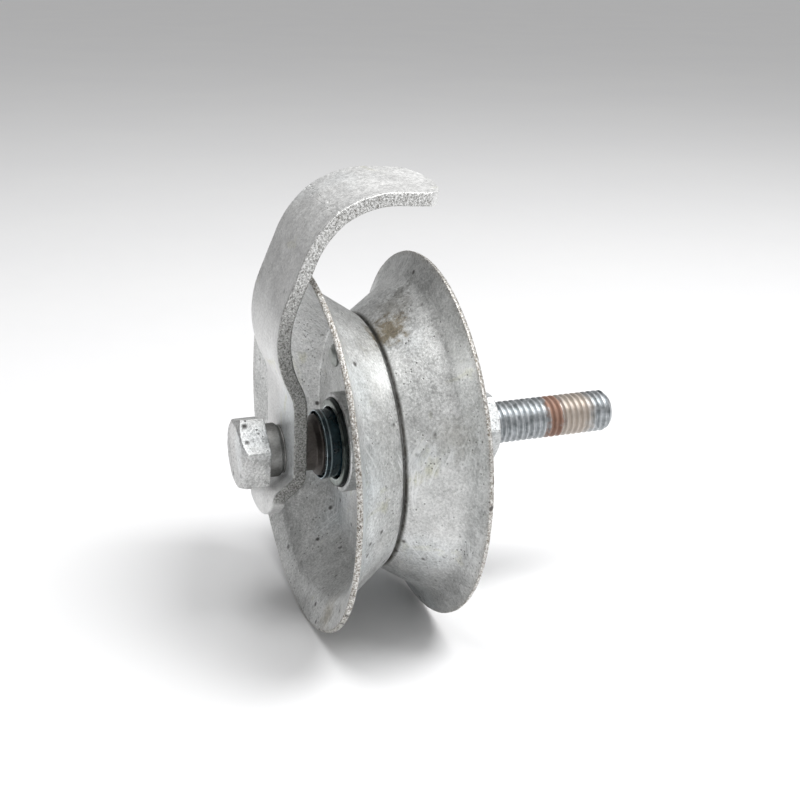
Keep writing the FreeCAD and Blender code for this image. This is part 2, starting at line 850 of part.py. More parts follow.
def guard():
    """The hooked guard: a bent flat bar with a hole for the bolt and rounded ends."""
    hook = new_body("guard_hook")
    bar_pad(hook, "hook", HOOK_LINE, D["guard_wide"])
    joined = doc.addObject("Part::MultiFuse", "guard_bar")
    joined.Shapes = [hook, tail_piece()]
    joined.Refine = True
    doc.recompute()
    shape = joined
    tools = [
        round_end("guard_tail_trim", TAIL_ROUND, 90.0),
        round_end("guard_tip_trim", TIP_ROUND, 0.0),
        hole_tool(),
    ]
    for number, tool in enumerate(tools, start=1):
        cut = doc.addObject("Part::Cut", f"guard_cut_{number}")
        cut.Base = shape
        cut.Tool = tool
        doc.recompute()
        if not cut.Shape.Volume < shape.Shape.Volume - 1.0:
            raise RuntimeError(f"guard_strap: {tool.Label} cut nothing")
        shape = cut
    softened = doc.addObject("Part::Fillet", "guard_strap")
    softened.Label = "guard_strap"
    softened.Base = shape
    softened.Edges = [(number, 0.45, 0.45) for number in long_edges(shape.Shape)]
    doc.recompute()
    made.append(softened)


def tail_piece():
    """The lower end of the bar: its bends run a little out of square, its sides do not."""
    bend = new_body("guard_tail_bend")
    bar_pad(bend, "tail", TAIL_LINE, D["guard_wide"] + 20.0)
    bend.Placement = FreeCAD.Placement(
        FreeCAD.Vector(0, 0, 0), FreeCAD.Rotation(FreeCAD.Vector(0, 1, 0), -TAIL_TURN)
    )
    block = doc.addObject("Part::Box", "guard_tail_block")
    block.setExpression("Length", "dims.guard_wide")
    block.Width = 40.0
    block.Height = 60.0
    block.Placement.Base = FreeCAD.Vector(0, -50.0, -52.0)
    block.setExpression("Placement.Base.x", "0 - dims.guard_wide / 2")
    trimmed = doc.addObject("Part::Common", "guard_tail")
    trimmed.Base = bend
    trimmed.Tool = block
    doc.recompute()
    return trimmed


def round_end(name, rounding, turn):
    """A block with one hollow face that rounds off an end of the bar when it is cut away."""
    across, along, radius = rounding
    block = doc.addObject("Part::Box", f"{name}_block")
    block.Length = 44.0
    block.Width = 30.0
    block.Height = 200.0
    block.Placement.Base = FreeCAD.Vector(-22.0, along + radius * 0.62, -100.0)
    disc = doc.addObject("Part::Cylinder", f"{name}_disc")
    disc.Radius = radius
    disc.Height = 210.0
    disc.Placement.Base = FreeCAD.Vector(across, along, -105.0)
    tool = doc.addObject("Part::Cut", name)
    tool.Base = block
    tool.Tool = disc
    tool.Placement = FreeCAD.Placement(
        FreeCAD.Vector(0, 0, 0), FreeCAD.Rotation(FreeCAD.Vector(1, 0, 0), -turn)
    )
    doc.recompute()
    return tool


def long_edges(shape):
    """Numbers of the bar's long sharp edges, which the mill leaves a little round."""
    numbers = []
    for number, edge in enumerate(shape.Edges, start=1):
        middle = edge.BoundBox.Center
        flat = edge.BoundBox.XLength < 0.01
        if flat and abs(abs(middle.x) - D["guard_wide"].value / 2) < 0.01:
            if edge.Length > 5.2:
                numbers.append(number)
    return numbers


def hole_tool():
    """The bolt hole through the guard."""
    tool = doc.addObject("Part::Cylinder", "guard_hole_tool")
    tool.setExpression("Radius", "dims.guard_hole")
    tool.Height = 40.0
    tool.Placement = FreeCAD.Placement(
        FreeCAD.Vector(0, -10.0, 0),
        FreeCAD.Rotation(FreeCAD.Vector(1, 0, 0), 90),
    )
    doc.recompute()
    return tool


# ---------------------------------------------------------------- build and write


def check(node):
    """Stops the build if a node is broken."""
    state = [s for s in node.State if "Invalid" in s or "Error" in s]
    if state:
        raise RuntimeError(f"{node.Label}: {state}")
    if node.Shape.isNull() or not node.Shape.isValid():
        raise RuntimeError(f"{node.Label}: bad shape")
    for obj in doc.Objects:
        if "Invalid" in obj.State or "Error" in obj.State:
            raise RuntimeError(f"{obj.Label}: {obj.State}")


def write_nodes():
    """Writes one STEP file for each node."""
    os.makedirs("parts", exist_ok=True)
    for name in os.listdir("parts"):
        if name.endswith(".step"):
            os.remove(os.path.join("parts", name))
    for node in made:
        check(node)
        node.Shape.exportStep(f"parts/{node.Label}.step")
        print(node.Label, round(node.Shape.Volume), len(node.Shape.Solids))


wheel_half("outboard_wheel_half", -1)
wheel_half("inboard_wheel_half", 1)
rivets("web_rivets")
hub()
bearing("outboard", -1)
bearing("inboard", 1)
spacers()
bolt()
nut()
guard()
doc.recompute()
write_nodes()
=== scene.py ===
import math

import bmesh
import bpy
import numpy as np
from mathutils import Matrix, Vector, noise


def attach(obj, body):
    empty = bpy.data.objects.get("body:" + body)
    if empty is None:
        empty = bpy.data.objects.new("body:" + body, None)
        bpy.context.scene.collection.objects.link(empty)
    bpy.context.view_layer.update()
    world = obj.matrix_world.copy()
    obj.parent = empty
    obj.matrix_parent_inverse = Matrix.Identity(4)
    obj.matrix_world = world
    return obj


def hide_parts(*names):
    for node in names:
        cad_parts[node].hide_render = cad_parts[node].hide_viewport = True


# The gate wheel's looks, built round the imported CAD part. +Y runs along the axle to the threaded
# end, +Z up along the guard. The sizes of meshes are in millimetres, and are turned to metres when a
# mesh is made. Places and sizes of lights, places inside materials, and names that end in _M are in
# metres.
MM = 0.001
SEED_SHIFT = Vector((3.7, 1.3, 8.1))

# the wheel's halves
RIM_RAD = 66.0
RIM_HALF = 21.6
SHEET = 2.0
FLOOR_RAD = 45.1
KNEE_RAD = 56.8
KNEE_HALF = 17.2
FLOOR_ROUND = 3.4
FLOOR_ROUND_IN = 1.2
KNEE_ROUND = 9.0
KNEE_ROUND_IN = 11.6
SEAM_GAP = 0.04
WAVE_FROM = 50.0
WAVE_OVER = 16.0
WEB_BORE = 15.95
COLLAR_RAD = 17.85
COLLAR_HIGH = 9.6
RIVET_RING = 34.0
RIVET_ANGLE = 139.0
RIVET_HEAD_RAD = 4.3
RIVET_HEAD_HIGH = 1.9
RIVET_SHANK_RAD = 2.9
RIVETS = 4

# the hub and what is threaded on the bolt
HUB_RAD = 15.9
HUB_BORE = 14.4
HUB_LIP_RAD = 13.0
HUB_LIP = 10.1
HUB_HALF = 11.2
SHIELD_NEAR = 8.0
SHIELD_FAR = 8.6
SHIELD_BORE = 11.25
CAP_RAD = 12.4
CAP_NEAR = 9.2
CAP_FAR = 16.5
CAP_BEAD_NEAR = 14.4
CAP_BEAD_FAR = 14.55
CAP_CUP = 13.6
CAP_FLOOR = 13.4
RACE_RAD = 10.9
BORE_RAD = 8.05
STEP_NEAR = 16.6
STEP_FAR = 17.5
STEP_TAPER = 18.8
SLEEVE_RAD = 8.8
GUARD_IN = 25.1
GUARD_OUT = 29.9
RING_RAD = 9.45
# wider than the collar's wall, so the outline crosses itself at the mouth of the bore
RING_BEVEL = 1.7
HEAD_NEAR = 36.2
HEAD_FAR = 46.1
HEX_FLAT = 23.8
HEAD_TURN = 22.5
NUT_TURN = 11.0
NUT_NEAR = 35.9
NUT_FAR = 49.8
NUT_BORE = 7.97
SPACER_END = 33.4
WASHER_RAD = 16.5
# the thread's crests, and the plain shank too
THREAD_RAD = 7.76
ROOT_RAD = 6.75
PITCH = 2.309
THREAD_START = 27.5
THREAD_RUN_IN = 6.0
BOLT_END = 98.3
END_BEVEL = 1.6
END_BEVEL_LONG = 2.0
END_BEVEL_SLOPE = 0.9

# the guard: its bar, its middle line as (axial place, height, bend radius), its round ends
BAR_WIDE = 34.3
BAR_THICK = 4.8
BAR_CORNER = 0.7
TAIL_TURN = math.radians(20.0)
TAIL_TURN_TOP = 6.0
TAIL_TURN_OVER = 12.0
BAR_LINE = [
    (-35.4, -38.0, 0.0),
    (-34.9, -15.6, 4.5),
    (-27.5, -10.0, 4.5),
    (-27.5, 25.46, 18.9),
    (-36.65, 44.7, 35.7),
    (-21.5, 82.1, 32.6),
    (-6.7, 93.25, 30.8),
    (26.0, 91.0, 0.0),
]
TIP_CENTRE = -12.6
TIP_RAD = 34.4
TIP_CORNER = 3.0
END_CENTRE = (-5.5, 3.5)
END_RAD = 27.9
END_CORNER = 2.0
HOLE_RAD = 8.0
HOLE_NEAR = -10.0
HOLE_FAR = -45.0
SHEAR_DEEP = 0.8

# the camera
CAMERA_AT = Vector((389.0, -137.6, 201.9))
CAMERA_AIM = Vector((-0.8492, 0.3316, -0.4109))
CAMERA_UP = Vector((-0.3997, 0.1048, 0.9106))
CAMERA_LENS = 57.7
CAMERA_SENSOR = 36.0
CAMERA_CLIP_M = 0.01

# the sky: where it is brightest, and its strength away from and toward that place
SKY_TOWARD = (0.0, 0.5, 0.87)
SKY_LOW = 0.12
SKY_HIGH = 0.62

# the floor leans a little about the axle's line, because the guard is not quite upright
FLOOR_LEAN = math.radians(-5.0)
FLOOR_SIZE_M = 14.0
FLOOR_CLEAR = 0.1


# ---------------------------------------------------------------- outlines


def unit(x, y):
    """A 2D direction of length one."""
    size = math.hypot(x, y)
    return x / size, y / size


def arc_corner(before, corner, after, radius, steps):
    """Points on the round that replaces one corner of an outline."""
    ax, ay = unit(before[0] - corner[0], before[1] - corner[1])
    bx, by = unit(after[0] - corner[0], after[1] - corner[1])
    cosine = max(-1.0, min(1.0, ax * bx + ay * by))
    half = math.acos(cosine) / 2.0
    if radius <= 0 or half > math.pi / 2 - 1e-4:
        return [corner] * (steps + 1)
    reach = radius / math.tan(half)
    mx, my = unit(ax + bx, ay + by)
    centre = (corner[0] + mx * radius / math.sin(half), corner[1] + my * radius / math.sin(half))
    start = (corner[0] + ax * reach, corner[1] + ay * reach)
    end = (corner[0] + bx * reach, corner[1] + by * reach)
    first = math.atan2(start[1] - centre[1], start[0] - centre[0])
    last = math.atan2(end[1] - centre[1], end[0] - centre[0])
    sweep = (last - first + math.pi) % (2 * math.pi) - math.pi
    points = []
    for i in range(steps + 1):
        angle = first + sweep * i / steps
        points.append((centre[0] + radius * math.cos(angle), centre[1] + radius * math.sin(angle)))
    return points


def rounded(corners, steps=5, closed=True):
    """An outline of (x, y, corner radius) corners with each corner rounded."""
    points = []
    count = len(corners)
    for i, (x, y, radius) in enumerate(corners):
        if not closed and i in (0, count - 1):
            points.append((x, y))
            continue
        before = corners[i - 1][:2]
        after = corners[(i + 1) % count][:2]
        points += arc_corner(before, (x, y), after, radius, steps)
    return points


def divided(points, parts):
    """The same closed outline with each of its lengths cut into equal parts."""
    result = []
    for i, a in enumerate(points):
        b = points[(i + 1) % len(points)]
        for k in range(parts):
            share = k / parts
            result.append((a[0] + (b[0] - a[0]) * share, a[1] + (b[1] - a[1]) * share))
    return result


def resampled(points, step, closed=True):
    """The same outline with its long straight lengths divided."""
    result = []
    count = len(points)
    last = count if closed else count - 1
    for i in range(last):
        a, b = points[i], points[(i + 1) % count]
        parts = max(1, int(math.hypot(b[0] - a[0], b[1] - a[1]) / step))
        for k in range(parts):
            share = k / parts
            result.append((a[0] + (b[0] - a[0]) * share, a[1] + (b[1] - a[1]) * share))
    if not closed:
        result.append(points[-1])
    return result


def offset_corner(corner, before, after, gap):
    """The corner of an outline that runs a fixed gap to the left of a bent line."""
    ax, ay = unit(corner[0] - before[0], corner[1] - before[1])
    bx, by = unit(after[0] - corner[0], after[1] - corner[1])
    share = gap / (1 + ax * bx + ay * by)
    return corner[0] - (ay + by) * share, corner[1] + (ax + bx) * share


# ---------------------------------------------------------------- meshes


def make_object(name, points, faces, angle=32.0):
    """A smooth-shaded object from points in millimetres, creased where it turns sharply."""
    mesh = bpy.data.meshes.new(name)
    mesh.from_pydata([tuple(c * MM for c in p) for p in points], [], faces)
    mesh.validate()
    obj = bpy.data.objects.new(name, mesh)
    bpy.context.scene.collection.objects.link(obj)
    merge_points(mesh)
    mesh.polygons.foreach_set("use_smooth", [True] * len(mesh.polygons))
    mesh.set_sharp_from_angle(angle=math.radians(angle))
    return obj


def merge_points(mesh):
    """Joins points that lie together, such as those on the axle line, and faces the skin outward."""
    work = bmesh.new()
    work.from_mesh(mesh)
    bmesh.ops.remove_doubles(work, verts=work.verts, dist=1e-6)
    bare = [edge for edge in work.edges if not edge.link_faces]
    bmesh.ops.delete(work, geom=bare, context="EDGES")
    loose = [vertex for vertex in work.verts if not vertex.link_faces]
    bmesh.ops.delete(work, geom=loose, context="VERTS")
    bmesh.ops.recalc_face_normals(work, faces=work.faces)
    work.to_mesh(mesh)
    work.free()
    mesh.update()


def grid_faces(rows, columns, wrap_rows, wrap_columns):
    """Quads of a grid whose point numbers run along the columns first."""
    faces = []
    for i in range(rows if wrap_rows else rows - 1):
        for k in range(columns if wrap_columns else columns - 1):
            a = i * columns + k
            b = i * columns + (k + 1) % columns
            c = ((i + 1) % rows) * columns + (k + 1) % columns
            d = ((i + 1) % rows) * columns + k
            faces.append((a, b, c, d))
    return faces


def spin(name, section, turns=160, closed=True, angle=32.0):
    """Turns an outline of (radius, axial place) about the axle."""
    points = []
    for i in range(turns):
        around = 2 * math.pi * i / turns
        for radius, along in section:
            points.append((radius * math.cos(around), along, radius * math.sin(around)))
    faces = grid_faces(turns, len(section), True, closed)
    return make_object(name, points, faces, angle)


def roughen(obj, amount, size):
    """Moves each point a little along its normal, so that the metal isn't perfectly even."""
    mesh = obj.data
    normals = [v.normal.copy() for v in mesh.vertices]
    for vertex, normal in zip(mesh.vertices, normals):
        place = vertex.co / (size * MM) + SEED_SHIFT
        push = noise.noise(place) + 0.5 * noise.noise(place * 2.3)
        vertex.co += normal * (push * amount * MM)
    mesh.update()


def mark_cut(obj, share_at):
    """Stores how far each point belongs to a sheared edge, for the material to read."""
    layer = obj.data.attributes.new("cut", "FLOAT", "POINT")
    for vertex, value in zip(obj.data.vertices, layer.data):
        value.value = share_at(vertex.co / MM)


def ramp(value, low, high):
    """0 below low, 1 above high, even between."""
    return min(1.0, max(0.0, (value - low) / (high - low)))


# ---------------------------------------------------------------- the wheel


def half_section(side):
    """The section of one pressed half, side -1 at the bolt's head and +1 at its threaded end."""
    gap = side * SHEET
    bore = (WEB_BORE, SEAM_GAP * side)
    foot = (FLOOR_RAD, SEAM_GAP * side)
    knee = (KNEE_RAD, side * KNEE_HALF)
    rim = (RIM_RAD, side * RIM_HALF)
    dx, dy = unit(rim[0] - knee[0], rim[1] - knee[1])
    lip = (rim[0] - dy * gap, rim[1] + dx * gap)
    knee_in = offset_corner(knee, foot, rim, gap)
    foot_in = offset_corner(foot, bore, knee, gap)
    corners = [
        (*bore, 0.5),
        (*foot, FLOOR_ROUND),
        (*knee, KNEE_ROUND),
        (*rim, 0.55),
        (*lip, 0.7),
        (*knee_in, KNEE_ROUND_IN),
        (*foot_in, FLOOR_ROUND_IN),
        (COLLAR_RAD, gap, 1.6),
        (COLLAR_RAD, side * COLLAR_HIGH, 0.7),
        (WEB_BORE, side * COLLAR_HIGH, 0.4),
    ]
    return resampled(rounded(corners, 6), 1.5)


def wheel_half(name, side):
    """A pressed half, a little uneven at its rim as a stamping is."""
    obj = spin(name, half_section(side), 288, angle=50.0)
    dx, dy = unit(RIM_RAD - KNEE_RAD, RIM_HALF - KNEE_HALF)

    def cut_share(place):
        """How far a point belongs to the rim's sheared edge."""
        radius = math.hypot(place.x, place.z)
        past = (radius - RIM_RAD) * dx + (side * place.y - RIM_HALF) * dy
        return ramp(past, -0.75, -0.3)

    mark_cut(obj, cut_share)
    for vertex in obj.data.vertices:
        x, y, z = vertex.co / MM
        radius = math.hypot(x, z)
        around = math.atan2(z, x)
        share = max(0.0, (radius - WAVE_FROM) / WAVE_OVER) ** 2
        wave = 0.16 * math.sin(2 * around + side) + 0.1 * math.sin(5 * around + 2 * side)
        ragged = 0.10 * noise.noise(Vector((x, y * 0.3, z)) * 0.5 + SEED_SHIFT)
        scale = 1 - share * (0.10 + ragged) / RIM_RAD
        vertex.co = Vector((x * scale, y - side * share * (0.2 + wave), z * scale)) * MM
    obj.data.update()
    roughen(obj, 0.06, 9.0)
    return obj


def rivet(name, angle):
    """A rivet through both webs, with a low domed head on each side."""
    reach = SHEET + 0.02
    top = reach + RIVET_HEAD_HIGH
    rad = RIVET_HEAD_RAD
    outline = [
        (0.0, -top, 0.0),
        (rad * 0.55, -top + 0.05, 1.4),
        (rad - 0.1, -reach - 0.7, 0.6),
        (rad, -reach, 0.1),
        (RIVET_SHANK_RAD, -reach, 0.0),
        (RIVET_SHANK_RAD, reach, 0.0),
        (rad, reach, 0.1),
        (rad - 0.1, reach + 0.7, 0.6),
        (rad * 0.55, top - 0.05, 1.4),
        (0.0, top, 0.0),
    ]
    obj = spin(name, rounded(outline, 5, closed=False), 48, closed=False, angle=60.0)
    centre = Vector((RIVET_RING * math.cos(angle), 0.0, RIVET_RING * math.sin(angle)))
    obj.data.transform(Matrix.Translation(centre * MM))
    roughen(obj, 0.08, 2.5)
    return obj


# ---------------------------------------------------------------- the hub and the spacers


def ring(name, corners, turns=160, side=1):
    """A turned ring from (radius, axial place, corner radius) corners."""
    section = rounded([(r, y * side, c) for r, y, c in corners], 4)
    return spin(name, section, turns, angle=50.0)


def hub_ring():
    """The sleeve in the webs, its ends rolled a little inward over the bearings."""
    corners = [
        (HUB_LIP_RAD, -HUB_HALF, 0.45),
        (HUB_RAD, -HUB_HALF, 1.0),
        (HUB_RAD, HUB_HALF, 1.0),
        (HUB_LIP_RAD, HUB_HALF, 0.45),
        (HUB_LIP_RAD, HUB_LIP, 0.3),
        (HUB_BORE, HUB_LIP, 0.3),
        (HUB_BORE, -HUB_LIP, 0.3),
        (HUB_LIP_RAD, -HUB_LIP, 0.3),
    ]
    return ring("hub_sleeve_skin", corners, 192)


def dust_ring(name, side):
    """A dark cup-shaped ring that turns with the inner race."""
    corners = [
        (RACE_RAD + 0.02, CAP_NEAR, 0.2),
        (CAP_RAD - 0.15, CAP_NEAR, 0.3),
        (CAP_RAD - 0.15, CAP_BEAD_NEAR, 0.2),
        (CAP_RAD, CAP_BEAD_FAR, 0.15),
        (CAP_RAD, CAP_FAR, 0.3),
        (CAP_RAD - 0.45, CAP_FAR, 0.2),
        (CAP_RAD - 0.9, CAP_CUP, 0.3),
        (RACE_RAD + 0.02, CAP_FLOOR, 0.1),
    ]
    return ring(name, corners, 160, side)


def shield(name, side):
    """The flat dust shield."""
    corners = [
        (SHIELD_BORE, SHIELD_NEAR, 0.1),
        (HUB_BORE - 0.05, SHIELD_NEAR, 0.1),
        (HUB_BORE - 0.05, SHIELD_FAR, 0.15),
        (SHIELD_BORE, SHIELD_FAR, 0.15),
    ]
    return ring(name, corners, 160, side)


def guard_spacer():
    """The stepped spacer between the bearing and the guard."""
    corners = [
        (BORE_RAD, -STEP_NEAR, 0.3),
        (RACE_RAD, -STEP_NEAR, 0.3),
        (RACE_RAD, -STEP_FAR, 0.5),
        (SLEEVE_RAD, -STEP_TAPER, 0.8),
        (SLEEVE_RAD, -GUARD_IN, 0.2),
        (BORE_RAD, -GUARD_IN, 0.2),
    ]
    obj = ring("guard_spacer_skin", corners, 128)
    roughen(obj, 0.03, 3.0)
    return obj


def head_collar():
    """The short collar between the guard and the bolt's head."""
    corners = [
        (BORE_RAD, -GUARD_OUT, 0.2),
        (RING_RAD - RING_BEVEL, -GUARD_OUT, 0.4),
        (RING_RAD, -GUARD_OUT - RING_BEVEL, 0.8),
        (RING_RAD, -HEAD_NEAR, 0.3),
        (BORE_RAD, -HEAD_NEAR, 0.2),
    ]
    obj = ring("head_collar_skin", corners, 128)
    roughen(obj, 0.05, 3.0)
    return obj


def inboard_spacer():
    """The plain tube between the inboard bearing and the washer."""
    corners = [
        (BORE_RAD, STEP_NEAR, 0.3),
        (RACE_RAD, STEP_NEAR, 0.3),
        (RACE_RAD, SPACER_END, 0.3),
        (BORE_RAD, SPACER_END, 0.3),
    ]
    return ring("inboard_spacer_skin", corners, 128)


def washer():
    """The flat washer under the nut."""
    corners = [
        (BORE_RAD, SPACER_END, 0.2),
        (WASHER_RAD, SPACER_END, 0.3),
        (WASHER_RAD, NUT_NEAR, 0.9),
        (BORE_RAD, NUT_NEAR, 0.2),
    ]
    obj = ring("nut_washer_skin", corners, 160)
    roughen(obj, 0.04, 5.0)
    return obj


# ---------------------------------------------------------------- the bolt and the nut


def hexagon(turn):
    """Points round a hexagon with slightly round corners, as (x, z)."""
    corner = HEX_FLAT / 2 / math.cos(math.pi / 6)
    corners = []
    for i in range(6):
        angle = math.radians(turn) + i * math.pi / 3
        corners.append((corner * math.cos(angle), corner * math.sin(angle), 0.8))
    return resampled(rounded(corners, 4), 0.9)


def hex_solid(name, turn, column):
    """A hexagonal piece: column gives its section of (radius, axial place) for a given corner radius."""
    points = []
    outline = hexagon(turn)
    for x, z in outline:
        radius = math.hypot(x, z)
        section = column(radius)
        for r, y in section:
            points.append((x / radius * r, y, z / radius * r))
    faces = grid_faces(len(outline), len(section), True, True)
    return make_object(name, points, faces, 30.0)


def head_column(radius):
    """The section of the bolt's head: flat underside, turned-down outer corners."""
    flat = HEX_FLAT * 0.462
    fall = (radius - flat) * math.tan(math.radians(31.0))
    corners = [
        (0.0, -HEAD_NEAR, 0.0),
        (radius * 0.6, -HEAD_NEAR, 0.0),
        (radius, -HEAD_NEAR, 0.45),
        (radius, -HEAD_FAR + fall, 0.7),
        (flat, -HEAD_FAR, 1.0),
        (flat * 0.5, -HEAD_FAR, 0.0),
        (0.0, -HEAD_FAR, 0.0),
    ]
    return divided(rounded(corners, 4), 3)


def nut_column(radius):
    """The section of the nut: both ends turned down, a plain bore."""
    flat = HEX_FLAT * 0.485
    fall = max(0.0, radius - flat) * math.tan(math.radians(30.0)) + 0.02
    corners = [
        (NUT_BORE, NUT_NEAR, 0.3),
        (flat, NUT_NEAR, 0.6),
        (radius, NUT_NEAR + fall, 0.5),
        (radius, NUT_FAR - fall, 0.5),
        (flat, NUT_FAR, 0.6),
        (NUT_BORE, NUT_FAR, 0.9),
    ]
    return rounded(corners, 4)


def thread_radius(around, along):
    """The bolt's radius at an angle and axial place: plain, then one right-hand helix."""
    phase = (along / PITCH - around / (2 * math.pi)) % 1.0
    wedge = abs(phase - 0.5) * 2.0
    height = min(1.0, max(0.0, (wedge - 0.14) / 0.68))
    height = height * height * (3 - 2 * height) * 0.35 + height * 0.65
    cut = min(1.0, max(0.0, (along - THREAD_START) / THREAD_RUN_IN))
    radius = THREAD_RAD - (THREAD_RAD - ROOT_RAD) * (1 - height) * cut
    end = BOLT_END - along
    if end >= END_BEVEL_LONG:
        return radius
    return min(radius, THREAD_RAD - END_BEVEL + end * END_BEVEL_SLOPE)


def bolt_shank():
    """The bolt below its head, threaded as one helix to its end."""
    turns = 96
    places = list(np.arange(-HEAD_NEAR - 0.5, THREAD_START, 4.0))
    places += list(np.arange(THREAD_START, BOLT_END - 0.02, PITCH / 13.0)) + [BOLT_END]
    points = []
    for along in places:
        for i in range(turns):
            around = 2 * math.pi * i / turns
            radius = thread_radius(around, along)
            points.append((radius * math.sin(around), along, radius * math.cos(around)))
    rows = len(places)
    faces = grid_faces(rows, turns, False, True)
    first = len(points)
    points.append((0.0, places[0], 0.0))
    points.append((0.0, BOLT_END, 0.0))
    for i in range(turns):
        faces.append((first, (i + 1) % turns, i))
        top = (rows - 1) * turns
        faces.append((first + 1, top + i, top + (i + 1) % turns))
    return make_object("bolt_shank", points, faces, 60.0)


# ---------------------------------------------------------------- the guard


def guard_path():
    """The bar's middle line as dense points, with the length along it at each."""
    line = resampled(rounded(BAR_LINE, 14, closed=False), 0.8, closed=False)
    points = np.array(line)
    keep = np.ones(len(points), bool)
    keep[1:] = np.hypot(*np.diff(points, axis=0).T) > 1e-6
    points = points[keep]
    lengths = np.concatenate([[0.0], np.cumsum(np.hypot(*np.diff(points, axis=0).T))])
    return points, lengths


def bar_loop(inset):
    """One turn round the bar's section as (across, through), in four runs: top, side, bottom, side."""
    half_x = BAR_WIDE / 2 - inset
    half_t = BAR_THICK / 2 - inset
    round_off = max(0.05, BAR_CORNER - inset * 0.7)
    inner_x, inner_t = half_x - round_off, half_t - round_off
    across = 34
    through = 6
    arc = 3

    def corner(sx, st, first, last):
        """Part of one rounded corner, from one angle to another."""
        result = []
        for i in range(arc + 1):
            angle = math.radians(first + (last - first) * i / arc)
            result.append(
                (
                    sx * inner_x + round_off * math.cos(angle),
                    st * inner_t + round_off * math.sin(angle),
                )
            )
        return result

    top = corner(-1, 1, 135, 90)
    top += [(-inner_x + 2 * inner_x * i / across, half_t) for i in range(1, across)]
    top += corner(1, 1, 90, 45)
    right = corner(1, 1, 45, 0)
    right += [(half_x, inner_t - 2 * inner_t * i / through) for i in range(1, through)]
    right += corner(1, -1, 0, -45)
    bottom = [(-x, -t) for x, t in top]
    left = [(-x, -t) for x, t in right]
    return top, right, bottom, left


def tip_reach(x):
    """How far along the axle the tip reaches at a place across the bar."""
    reach = TIP_CENTRE + math.sqrt(TIP_RAD**2 - x * x)
    over = abs(x) - (BAR_WIDE / 2 - TIP_CORNER)
    if over > 0:
        reach -= TIP_CORNER - math.sqrt(max(0.0, TIP_CORNER**2 - over * over))
    return reach


def tail_reach(x):
    """How low the lower end reaches at a place across the bar."""
    low = END_CENTRE[1] - math.sqrt(END_RAD**2 - (x - END_CENTRE[0]) ** 2)
    over = abs(x) - (BAR_WIDE / 2 - END_CORNER)
    if over > 0:
        low += END_CORNER - math.sqrt(max(0.0, END_CORNER**2 - over * over))
    return low


class Bar:
    """Places points of the bent bar from (across, through, share of the length)."""

    def __init__(self):
        """Works out the middle line, the direction along it, and the stretches its ends lie on."""
        self.points, self.lengths = guard_path()
        y, z = self.points.T
        low = z < 5.0
        self.low_z, self.low_s = z[low], self.lengths[low]
        high = (z > 60.0) & (y > -15.0)
        self.high_y, self.high_s = y[high], self.lengths[high]
        step = np.gradient(self.points, self.lengths, axis=0)
        self.along = step / np.hypot(*step.T)[:, None]

    def ends(self, x):
        """Lengths along the middle line where the bar starts and stops at this place across."""
        low = tail_reach(x)
        turned = (low - x * math.tan(TAIL_TURN)) * math.cos(TAIL_TURN)
        start = np.interp(turned, self.low_z, self.low_s)
        stop = np.interp(tip_reach(x), self.high_y, self.high_s)
        return start, stop

    def place(self, x, through, length):
        """A point of the bar in space."""
        y = np.interp(length, self.lengths, self.points[:, 0])
        z = np.interp(length, self.lengths, self.points[:, 1])
        ay = np.interp(length, self.lengths, self.along[:, 0])
        az = np.interp(length, self.lengths, self.along[:, 1])
        y -= az * through
        z += ay * through
        share = min(1.0, max(0.0, (TAIL_TURN_TOP - z) / TAIL_TURN_OVER))
        share = share * share * (3 - 2 * share)
        z += share * (z / math.cos(TAIL_TURN) - z + x * math.tan(TAIL_TURN))
        return x, y, z


def guard_bar():
    """The hooked guard as one closed skin, its ends and long edges a little round."""
    bar = Bar()
    rows = 230
    soft = BAR_CORNER
    plan = []
    for i in range(4):
        angle = math.pi / 2 * i / 4
        plan.append((soft * (1 - math.sin(angle)), soft * (1 - math.cos(angle)), 0.0))
    plan += [(0.0, soft, i / rows) for i in range(rows + 1)]
    for i in range(3, -1, -1):
        angle = math.pi / 2 * i / 4
        plan.append((soft * (1 - math.sin(angle)), soft * (1 - math.cos(angle)), 1.0))
    points = []
    loops = []
    for inset, back, share in plan:
        runs = bar_loop(inset)
        loop = [p for run in runs for p in run[:-1]]
        loops.append(runs)
        for x, through in loop:
            start, stop = bar.ends(x)
            if inset == 0.0:
                length = start + soft + (stop - start - 2 * soft) * share
            elif share == 0.0:
                length = start + back
            else:
                length = stop - back
            points.append(bar.place(x, through, length))
    count = len(loop)
    faces = grid_faces(len(plan), count, False, True)
    for end in (0, len(plan) - 1):
        cap(points, faces, end * count, loops[end], bar, end > 0)
    return make_object("guard_bar", points, faces, 40.0)


def cap(points, faces, first, runs, bar, at_tip):
    """Closes an end of the bar with a grid between its two broad faces."""
    top, right, bottom, _ = runs
    wide, deep = len(top), len(right)
    number = {}
    index = first
    for k in range(wide - 1):
        number[(k, 0)] = index
        index += 1
    for k in range(deep - 1):
        number[(wide - 1, k)] = index
        index += 1
    for k in range(wide - 1):
        number[(wide - 1 - k, deep - 1)] = index
        index += 1
    for k in range(deep - 1):
        number[(0, deep - 1 - k)] = index
        index += 1
    low_row = bottom[::-1]
    for i in range(1, wide - 1):
        for k in range(1, deep - 1):
            share = (right[k][1] - right[0][1]) / (right[-1][1] - right[0][1])
            x = top[i][0] + (low_row[i][0] - top[i][0]) * share
            through = top[i][1] + (low_row[i][1] - top[i][1]) * share
            start, stop = bar.ends(x)
            number[(i, k)] = len(points)
            points.append(bar.place(x, through, stop if at_tip else start))
    for i in range(wide - 1):
        for k in range(deep - 1):
            faces.append(
                (number[(i, k)], number[(i + 1, k)], number[(i + 1, k + 1)], number[(i, k + 1)])
            )


